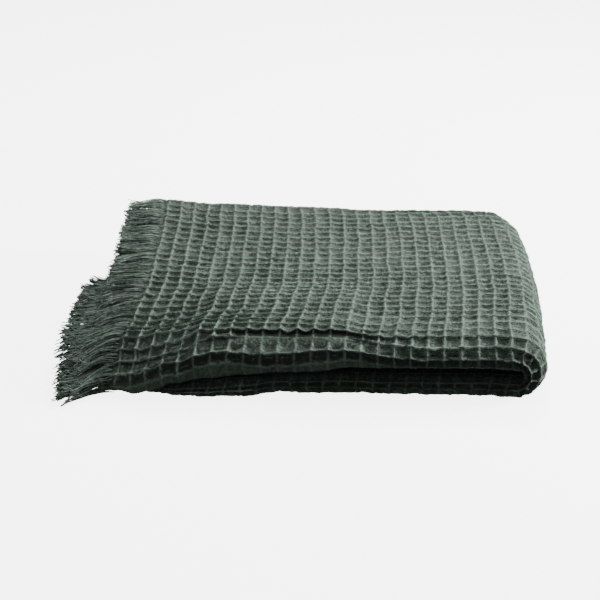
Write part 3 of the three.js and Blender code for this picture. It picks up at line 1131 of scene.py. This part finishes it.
@dataclass
class Fringe:
    """Fringe along one short edge: free yarns drawn together in uneven bunches, in millimetres."""

    pack: FoldedPack
    name: str
    level: int
    seed: int
    open_pitch: float = 0.5
    covered_pitch: float = 1.9
    open_past: float = 25.0
    yarn_radius: float = 0.4
    sides: int = 4
    steps: int = 13
    tuck: float = 2.5
    bunch: tuple[float, float] = (4.5, 10.0)
    draw: tuple[float, float] = (0.2, 0.5)
    lock_rise: float = 4.0
    start_spread: float = 9.0
    lean: float = 3.0
    corner_lean: float = 14.0
    corner_width: float = 20.0
    length_spread: float = 3.0
    short_share: float = 0.2
    short_by: float = 9.0
    pile: float = 1.0
    lift: float = 0.8
    stray_share: float = 0.03
    stray_lift: float = 5.0
    fray: float = 0.35
    fray_turn: float = 5.0
    fray_lift: float = 3.0
    wave: float = 3.6
    wave_scale: float = 75.0
    binder_places: tuple[float, ...] = (1.0,)
    binder_step: float = 3.0
    binder_rise: float = 0.55
    edge_inset: float = 0.6
    rim_inset: float = 0.3
    root_jitter: float = 0.35
    corner_bunches: int = 2
    corner_draw: float = 0.1
    draw_span: tuple[float, float] = (0.1, 0.8)
    curl: float = 1.4
    least_rise: float = 0.2
    rise_span: tuple[float, float] = (-0.3, 0.3)
    clearance: float = 0.25
    girth_range: tuple[float, float] = (0.8, 1.15)
    taper: float = 0.72
    taper_start: float = 0.82
    loose_span: tuple[float, float] = (0.02, 0.6)
    bunch_tone: float = 0.45
    yarn_tone: float = 0.55

    def bunches(self, random: np.random.Generator) -> Floats:
        """Where the bunches end across the cloth, in millimetres."""
        total = self.pack.span_ends[-1]
        widths = random.uniform(*self.bunch, int(total / self.bunch[0]) + 1)
        stops = np.concatenate(([0.0], np.cumsum(widths)))
        stops = stops[stops < total - self.bunch[0] / 2]
        return np.concatenate((stops, [total]))

    def add_yarns(self, paths: YarnPaths) -> None:
        """Adds the free yarns to the paths."""
        pack, random = self.pack, np.random.default_rng(self.seed)
        stops = self.bunches(random)
        centres = (stops[:-1] + stops[1:]) / 2
        draws = random.uniform(*self.draw, len(centres))
        leans = random.uniform(-self.lean, self.lean, len(centres))
        draws[: self.corner_bunches], leans[: self.corner_bunches] = self.corner_draw, 0.0
        reaches = random.uniform(-self.length_spread, self.length_spread, len(centres))
        tones = random.uniform(-1.0, 1.0, len(centres))
        shown = pack.span_ends[2] + self.open_past
        open_roots = np.arange(self.edge_inset, shown, self.open_pitch)
        covered_roots = np.arange(shown, pack.span_ends[-1] - self.edge_inset, self.covered_pitch)
        roots = np.concatenate((open_roots, covered_roots))
        jitter = random.uniform(-self.root_jitter, self.root_jitter, len(roots))
        roots = roots + jitter * self.open_pitch
        share = np.linspace(0.0, 1.0, self.steps)
        for number, root in enumerate(roots):
            bunch = min(int(np.searchsorted(stops, root, side="right")) - 1, len(centres) - 1)
            pull = draws[bunch] * ease(*self.draw_span, share)
            loose = np.maximum(0.0, share - 1 + self.fray) / self.fray
            curl = random.uniform(-self.curl, self.curl) * share**2
            curl = curl + random.normal() * self.fray_turn * loose**1.5
            inwards = self.corner_lean * math.exp(-root / self.corner_width)
            u = mix(root, centres[bunch], pull) + (leans[bunch] + inwards) * share**1.5 + curl
            u = np.clip(u, self.rim_inset, pack.span_ends[-1] - self.rim_inset)
            spread = random.uniform(-1, 1) * self.length_spread
            length = pack.fringe_length + reaches[bunch] + spread
            length -= self.short_by * random.uniform(0, 1) * (random.uniform() < self.short_share)
            if self.level < 0:
                y = pack.section(np.array([centres[bunch]]))[0]
                length += float(pack.lower_reach.read("past", y)[0])
            start = self.tuck - pack.header + self.start_spread * random.uniform()
            s = start - (length + start) * share
            off = (root - centres[bunch]) / (stops[bunch + 1] - stops[bunch])
            rise = self.lock_rise * (1 - 4 * off**2) * ease(*self.rise_span, share)
            rise = rise + random.uniform(self.least_rise, self.pile)
            rise = rise + self.lift * random.uniform() * np.sin(math.pi * share)
            points = pack.place(u, s, self.level * pack.ply_pitch / 2 + self.level * rise)
            points[:, 2] += MM * self.fray_lift * random.uniform() * loose**2
            stray = random.uniform() < self.stray_share
            points[:, 2] += MM * (stray * self.stray_lift * random.uniform(0.3, 1.0)) * share**3
            least = MM * (self.yarn_radius + self.clearance * self.wave)
            points[:, 2] = np.maximum(points[:, 2], least)
            girth = random.uniform(*self.girth_range) * (1 - self.taper * ease(self.taper_start, 1.0, share))
            tone = self.bunch_tone * tones[bunch] + self.yarn_tone * random.uniform(-1.0, 1.0)
            paths.add(points, girth, ease(*self.loose_span, share), tone)

    def add_binders(self, paths: YarnPaths) -> None:
        """Adds the last woven yarns, which run across the free ones beside the cloth."""
        pack, random = self.pack, np.random.default_rng(self.seed + 1)
        total = pack.span_ends[-1]
        u = np.linspace(0.5, total - 0.5, int(total / self.binder_step))
        for order, place in enumerate(self.binder_places):
            noise = LatticeNoise(self.seed + 40 + order)
            s = -pack.header - place + 0.9 * noise.at(u / 9.0, np.zeros_like(u))
            k = self.level * (pack.ply_pitch / 2 + self.binder_rise)
            k = k + 0.25 * random.uniform(-1, 1, len(u))
            points = pack.place(u, s, k)
            paths.add(points, np.full(len(u), 0.85 - 0.08 * order), np.full(len(u), 0.15))

    def build(self, finish: bpy.types.Material) -> bpy.types.Object:
        """Makes the fringe's piece.

        Args:
            finish: the yarns' finish.

        Returns:
            The piece, in place of the plain comb.
        """
        paths = YarnPaths()
        self.add_yarns(paths)
        self.add_binders(paths)
        values = {
            "Yarn radius": MM * self.yarn_radius,
            "Sides": self.sides,
            "Waviness": MM * self.wave,
            "Wave scale": self.wave_scale,
            "Seed": float(self.seed),
        }
        return paths.sweep(self.name, finish, values)


def add_node(
    tree: bpy.types.NodeTree, kind: str, settings: dict[str, Any], inputs: dict[Any, Any]
) -> Any:
    """Adds a node to a tree.

    Args:
        tree: the tree.
        kind: the node's type.
        settings: properties that are set first; "stops" sets a ramp's.
        inputs: values or links, by socket name, identifier or number.

    Returns:
        The node.
    """
    node = tree.nodes.new(kind)
    for name, value in settings.items():
        if name == "stops":
            set_stops(node, value)
        else:
            setattr(node, name, value)
    for name, value in inputs.items():
        if isinstance(name, int):
            socket = node.inputs[name]
        else:
            socket = next(s for s in node.inputs if name in (s.identifier, s.name) and s.enabled)
        value = value.socket if isinstance(value, Expression) else value
        if isinstance(value, bpy.types.NodeSocket):
            tree.links.new(value, socket)
        else:
            socket.default_value = value
    return node


def set_stops(node: bpy.types.Node, stops: Sequence[tuple[float, Colour]]) -> None:
    """Sets a colour ramp's stops.

    Args:
        node: the ramp.
        stops: place and colour of each.
    """
    elements = node.color_ramp.elements
    while len(elements) < len(stops):
        elements.new(1.0)
    for element, (place, colour) in zip(elements, stops):
        element.position = place
        element.color = (*colour, 1.0)


@dataclass(frozen=True)
class Expression:
    """A number socket in an expression; its operators add Math nodes."""

    tree: bpy.types.NodeTree
    socket: bpy.types.NodeSocket

    def math(self, operation: str, *values: Any) -> "Expression":
        """The result of a Math node on these values."""
        node = add_node(self.tree, "ShaderNodeMath", {"operation": operation}, dict(enumerate(values)))
        return Expression(self.tree, node.outputs[0])

    def __add__(self, other: Any) -> "Expression":
        """Sum."""
        return self.math("ADD", self, other)

    __radd__ = __add__

    def __sub__(self, other: Any) -> "Expression":
        """Difference."""
        return self.math("SUBTRACT", self, other)

    def __rsub__(self, other: Any) -> "Expression":
        """Difference from a number."""
        return self.math("SUBTRACT", other, self)

    def __mul__(self, other: Any) -> "Expression":
        """Product."""
        return self.math("MULTIPLY", self, other)

    __rmul__ = __mul__

    def waves(self) -> "Expression":
        """Sine."""
        return self.math("SINE", self)

    def off_line(self) -> "Expression":
        """Distance to the nearest whole number."""
        return self.math("PINGPONG", self, 0.5)

    def larger(self, other: Any) -> "Expression":
        """The larger of two."""
        return self.math("MAXIMUM", self, other)

    def step(self, start: float, end: float) -> "Expression":
        """Smooth step from 0 at start to 1 at end."""
        values = {"Value": self, "From Min": start, "From Max": end}
        node = add_node(self.tree, "ShaderNodeMapRange", {"interpolation_type": "SMOOTHSTEP"}, values)
        return Expression(self.tree, node.outputs[0])

    def band(self, rise_start: float, rise_end: float, fall_start: float, fall_end: float) -> "Expression":
        """1 between two smooth steps, 0 outside them."""
        return self.step(rise_start, rise_end) - self.step(fall_start, fall_end)


class FinishTree:
    """Nodes of one material, with a Principled shader at their end."""

    def __init__(self, name: str) -> None:
        """Starts an empty material of that name."""
        self.material = bpy.data.materials.new(name)
        self.material.use_nodes = True
        self.tree = self.material.node_tree
        self.tree.nodes.clear()

    def node(
        self, kind: str, settings: dict[str, Any] | None = None, inputs: dict[Any, Any] | None = None
    ) -> Any:
        """Adds a node of a type, with its settings and its sockets' values or links."""
        return add_node(self.tree, kind, settings or {}, inputs or {})

    def number(self, socket: bpy.types.NodeSocket) -> Expression:
        """A socket as a number in an expression."""
        return Expression(self.tree, socket)

    def noise(self, vector: Any, scale: float, detail: float = 2.0, rough: float = 0.5) -> Expression:
        """Noise between 0 and 1.

        Args:
            vector: the coordinates' socket.
            scale: repeats in one unit.
            detail: octaves.
            rough: how strong the finer octaves are.

        Returns:
            The noise as a number.
        """
        values = {"Vector": vector, "Scale": scale, "Detail": detail, "Roughness": rough}
        return self.number(self.node("ShaderNodeTexNoise", {}, values).outputs[0])

    def blend(self, share: Any, low: Any, high: Any) -> bpy.types.NodeSocket:
        """A colour between two others.

        Args:
            share: how far towards the second.
            low: first colour or socket.
            high: second colour or socket.

        Returns:
            The blended colour's socket.
        """
        values = {"Factor_Float": share, "A_Color": low, "B_Color": high}
        settings = {"data_type": "RGBA", "clamp_factor": True}
        mixed = self.node("ShaderNodeMix", settings, values)
        return next(socket for socket in mixed.outputs if socket.identifier == "Result_Color")

    def finish(
        self, inputs: dict[str, Any], height: Expression | None, depth: float
    ) -> bpy.types.Material:
        """Adds the shader.

        Args:
            inputs: the Principled shader's sockets.
            height: the bump's height, or nothing.
            depth: the bump's depth in metres.

        Returns:
            The material.
        """
        inputs = dict(inputs)
        if height is not None:
            values = {"Height": height, "Distance": depth, "Strength": 1.0}
            inputs["Normal"] = self.node("ShaderNodeBump", {}, values).outputs["Normal"]
        shader = self.node("ShaderNodeBsdfPrincipled", {}, inputs)
        self.node("ShaderNodeOutputMaterial", {}, {"Surface": shader.outputs[0]})
        return self.material


@dataclass(frozen=True)
class CottonFinish:
    """What every cotton finish of the throw shares: a dull, faintly fuzzy surface."""

    roughness: float = 0.92
    sheen: float = 0.12
    sheen_roughness: float = 0.6
    specular: float = 0.15

    def inputs(self, colour: bpy.types.NodeSocket) -> dict[str, Any]:
        """The shader's sockets with that base colour."""
        return {
            "Base Color": colour,
            "Roughness": self.roughness,
            "Sheen Weight": self.sheen,
            "Sheen Roughness": self.sheen_roughness,
            "Specular IOR Level": self.specular,
        }


@dataclass(frozen=True)
class WovenFinish(CottonFinish):
    """Washed cotton woven in square cells: pale ridges, pits coloured darker as painted shade, mottled and
    slightly fuzzy; bands of the fold carry painted shade and painted highlights.
    """

    name: str = "washed_waffle_cotton"
    # ridge is the yarn's own colour; floor, the pits' colour, is far darker as painted shade in the recesses
    ridge: Colour = (0.268, 0.390, 0.304)
    floor: Colour = (0.062, 0.083, 0.066)
    tone: Colour = (0.150, 0.185, 0.160)
    yarns_per_cell: float = 15.0
    bump_depth: float = 0.0012
    upper_end: tuple[float, float] = (20.5, 24.0)
    corner_end: tuple[float, float] = (5.0, 9.0)
    # the lip band gets painted light, standing in for light bounced up from the floor
    lip_rows: tuple[float, float, float, float] = (27.9, 28.2, 28.6, 29.0)
    # face, riser and bottom bands carry painted shade in the pits and painted highlights on the ridges
    face_rows: tuple[float, float, float, float] = (26.7, 27.1, 27.6, 28.2)
    riser_rows: tuple[float, float, float, float] = (24.95, 25.2, 25.9, 26.1)
    riser_cells: tuple[float, float, float, float] = (4.0, 6.0, 15.0, 18.0)
    bottom_rows: tuple[float, float, float, float] = (24.0, 24.6, 27.6, 28.2)
    shelf_rows: tuple[float, float, float, float] = (25.8, 26.2, 27.0, 27.3)
    # the far rows of the top get painted shade
    back_rows: tuple[float, float] = (2.0, 12.0)
    base_tone: float = 0.12
    ridge_tone: float = 0.64
    lip_painted_light: float = 0.36
    lint_tone: float = 1.7
    back_painted_shade: float = 0.12

    def build(self) -> bpy.types.Material:
        """Makes the material."""
        tree = FinishTree(self.name)
        place = tree.node("ShaderNodeTexCoord").outputs["Object"]
        cells = tree.node("ShaderNodeUVMap", {"uv_map": "cells"}).outputs[0]
        split = tree.node("ShaderNodeSeparateXYZ", {}, {"Vector": cells})
        along, across = (tree.number(split.outputs[n]) for n in (0, 1))
        lint = tree.noise(place, 380.0, 3.0, 0.75)
        blotch = tree.noise(place, 150.0, 2.0, 0.5)
        broad = tree.noise(place, 22.0, 2.0, 0.5)
        long_ridge = 1.0 - along.off_line().step(0.01, 0.14)
        cross_ridge = 1.0 - across.off_line().step(0.01, 0.12)
        ridge = (long_ridge * 0.48).larger(cross_ridge * 0.92)
        upper = 1.0 - along.step(*self.upper_end)
        corner = 1.0 - along.step(*self.corner_end)
        lip = across.band(*self.lip_rows) * upper
        face = across.band(*self.face_rows) * upper
        riser = across.band(*self.riser_rows) * along.band(*self.riser_cells)
        bottom = across.band(*self.bottom_rows) * corner
        # painted shade: darkens the front face, the lower roll near the corner and the dark windows under
        # the crown edge
        painted_shade = (face * 0.10).larger(bottom * 0.22).larger(riser * 0.34)
        # painted highlight: lightens the long ridges across the painted shade bands
        edge = long_ridge * (face * 0.4).larger(bottom * 0.42).larger(riser * 0.5)
        # lit blends pit colour to ridge colour: low in the pits as painted shade, lowered by the painted
        # shade bands, raised by painted highlights
        lit = self.base_tone - painted_shade + ridge * self.ridge_tone + edge
        # painted highlight on the lower roll's cross ridges, and painted light on the lip band
        lit = lit + cross_ridge * (bottom * 0.15) + lip * self.lip_painted_light
        shelf = across.band(*self.shelf_rows)
        lit = lit + (lint - 0.5) * self.lint_tone + (blotch - 0.5) * (shelf * 1.1 + 0.9)
        # painted shade on the far rows of the top
        lit = lit - (1.0 - across.step(*self.back_rows)) * self.back_painted_shade
        colour = tree.blend(lit, (*self.floor, 1.0), (*self.ridge, 1.0))
        colour = tree.blend((broad - 0.35) * 0.5, colour, (*self.tone, 1.0))
        turn = 2.0 * math.pi * self.yarns_per_cell
        up_yarns = (along * turn + lint * 2.5).waves()
        side_yarns = (across * turn + lint * 2.5).waves()
        yarns = up_yarns * long_ridge + side_yarns * (1.0 - long_ridge)
        height = yarns * 0.22 + lint * 3.0 + blotch * 1.0
        return tree.finish(self.inputs(colour), height, self.bump_depth)


@dataclass(frozen=True)
class YarnFinish(CottonFinish):
    """Loose twisted cotton yarn, a little greyer than the weave, its tone given yarn by yarn."""

    name: str = "washed_cotton_yarn"
    pale: Colour = (0.250, 0.330, 0.275)
    deep: Colour = (0.034, 0.049, 0.040)
    bump_depth: float = 0.0003
    middle_tone: float = 0.57
    lint_tone: float = 0.7
    strand_tone: float = 1.6
    yarn_tone: float = 0.55

    def build(self) -> bpy.types.Material:
        """Makes the material."""
        tree = FinishTree(self.name)
        place = tree.node("ShaderNodeTexCoord").outputs["Object"]
        lint = tree.noise(place, 1400.0, 3.0, 0.6)
        strand = tree.noise(place, 260.0, 2.0, 0.5)
        given = tree.node("ShaderNodeAttribute", {"attribute_name": "tone"})
        tone = tree.number(given.outputs["Fac"])
        share = self.middle_tone + (lint - 0.5) * self.lint_tone + (strand - 0.5) * self.strand_tone
        share = share + tone * self.yarn_tone
        colour = tree.blend(share, (*self.deep, 1.0), (*self.pale, 1.0))
        return tree.finish(self.inputs(colour), lint + strand * 0.5, self.bump_depth)


@dataclass(frozen=True)
class FloorFinish:
    """Plain pale studio floor."""

    name: str = "pale_floor"
    colour: Colour = (0.86, 0.86, 0.86)
    glow: float = 5.0
    roughness: float = 0.9

    def build(self) -> bpy.types.Material:
        """Makes the material."""
        tree = FinishTree(self.name)
        inputs = {
            "Base Color": (*self.colour, 1.0),
            "Roughness": self.roughness,
            "Emission Color": (1.0, 1.0, 1.0, 1.0),
            "Emission Strength": self.glow,
        }
        return tree.finish(inputs, None, 0.0)


@dataclass(frozen=True)
class SoftLight:
    """One soft light that looks at the part."""

    name: str
    azimuth: float
    elevation: float
    distance: float
    size: float
    power: float

    def build(self, target: Vector) -> bpy.types.Object:
        """Makes the light.

        Args:
            target: where it points.

        Returns:
            The light.
        """
        lamp = bpy.data.lights.new(self.name, "AREA")
        lamp.size, lamp.energy = self.size, self.power
        light = bpy.data.objects.new(self.name, lamp)
        turn, tilt = math.radians(self.azimuth), math.radians(self.elevation)
        way = Vector((math.cos(turn) * math.cos(tilt), math.sin(turn) * math.cos(tilt), math.sin(tilt)))
        light.location = target + self.distance * way
        light.rotation_euler = way.to_track_quat("Z", "Y").to_euler()
        bpy.context.scene.collection.objects.link(light)
        return light


@dataclass(frozen=True)
class Studio:
    """Pale floor, soft light and the camera, in metres and degrees."""

    floor_size: float = 40.0
    world: Colour = (1.0, 1.0, 1.0)
    world_strength: float = 0.15
    lights: tuple[SoftLight, ...] = (
        SoftLight("rear", 78.0, 47.0, 1.6, 0.4, 25.5),
        SoftLight("side", 8.0, 18.0, 1.6, 0.4, 52.0),
        SoftLight("overhead", 90.0, 88.0, 1.6, 0.7, 10.0),
    )
    target: tuple[float, float, float] = (-0.00338, -0.07262, 0.060)
    camera_elevation: float = 24.6
    camera_yaw: float = 2.1
    camera_distance: float = 1.48
    lens: float = 90.6
    sensor: float = 36.0

    def build_floor(self) -> bpy.types.Object:
        """Makes the floor."""
        half = self.floor_size / 2
        signs = ((-1, -1), (1, -1), (1, 1), (-1, 1))
        corners = np.array([(a * half, b * half, 0.0) for a, b in signs])
        floor = make_piece("studio_floor", corners, [(0, 1, 2, 3)], FloorFinish().build())
        floor.visible_diffuse = floor.visible_glossy = False
        return floor

    def build_world(self) -> None:
        """Sets the plain even light from all round."""
        world = bpy.data.worlds.new("studio")
        world.use_nodes = True
        background = world.node_tree.nodes["Background"]
        background.inputs["Color"].default_value = (*self.world, 1.0)
        background.inputs["Strength"].default_value = self.world_strength
        bpy.context.scene.world = world

    def build_camera(self) -> bpy.types.Object:
        """Makes the camera and gives it to the scene."""
        camera = bpy.data.objects.new("camera", bpy.data.cameras.new("camera"))
        camera.data.lens, camera.data.sensor_width = self.lens, self.sensor
        tilt, yaw = math.radians(self.camera_elevation), math.radians(self.camera_yaw)
        way = Vector((math.sin(yaw) * math.cos(tilt), -math.cos(yaw) * math.cos(tilt), math.sin(tilt)))
        camera.location = Vector(self.target) + self.camera_distance * way
        camera.rotation_euler = way.to_track_quat("Z", "Y").to_euler()
        bpy.context.scene.collection.objects.link(camera)
        bpy.context.scene.camera = camera
        return camera

    def build(self) -> None:
        """Makes the whole studio."""
        self.build_camera()
        self.build_floor()
        self.build_world()
        for light in self.lights:
            light.build(Vector(self.target))


def report(piece: bpy.types.Object) -> None:
    """Logs a finished piece's size."""
    count = sum(len(face.vertices) - 2 for face in piece.data.polygons)
    LOG.info("%s: %d triangles", piece.name, count)


def main() -> None:
    """Builds the studio and every piece of the throw, in order."""
    logging.basicConfig(level=logging.INFO, format="%(name)s %(message)s")
    Studio().build()
    pack = FoldedPack()
    cloth = WaffleCloth(pack).build(WovenFinish().build())
    yarn = YarnFinish().build()
    # darker copy of the yarn finish for the lower fringe: painted shade, as that fringe lies under the upper
    # one
    painted_shade_yarn = YarnFinish(
        name="painted_shade_cotton_yarn", pale=(0.190, 0.252, 0.210), deep=(0.026, 0.037, 0.030)
    ).build()
    upper = Fringe(
        pack,
        "fringe_yarns_upper",
        level=1,
        seed=5,
        bunch=(5.0, 13.0),
        draw=(0.25, 0.65),
        lean=5.5,
        length_spread=3.6,
        pile=2.1,
        fray_turn=3.0,
        fray_lift=1.0,
    ).build(yarn)
    lower = Fringe(
        pack,
        "fringe_yarns_lower",
        level=-1,
        seed=9,
        open_pitch=0.3,
        covered_pitch=1.5,
        yarn_radius=0.52,
        draw=(0.0, 0.2),
        lock_rise=1.5,
        lean=2.0,
        length_spread=3.8,
        short_by=6.0,
        pile=2.0,
        fray_turn=5.0,
        fray_lift=5.0,
        wave=2.4,
        binder_places=(1.0, 31.0),
    ).build(painted_shade_yarn)
    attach(cloth, "root")
    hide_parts("cloth_body")
    for fringe, node in ((upper, "fringe_upper"), (lower, "fringe_lower")):
        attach(fringe, "root")
        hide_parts(node)
    for piece in (cloth, upper, lower):
        report(piece)


if __name__ == "__main__":
    main()
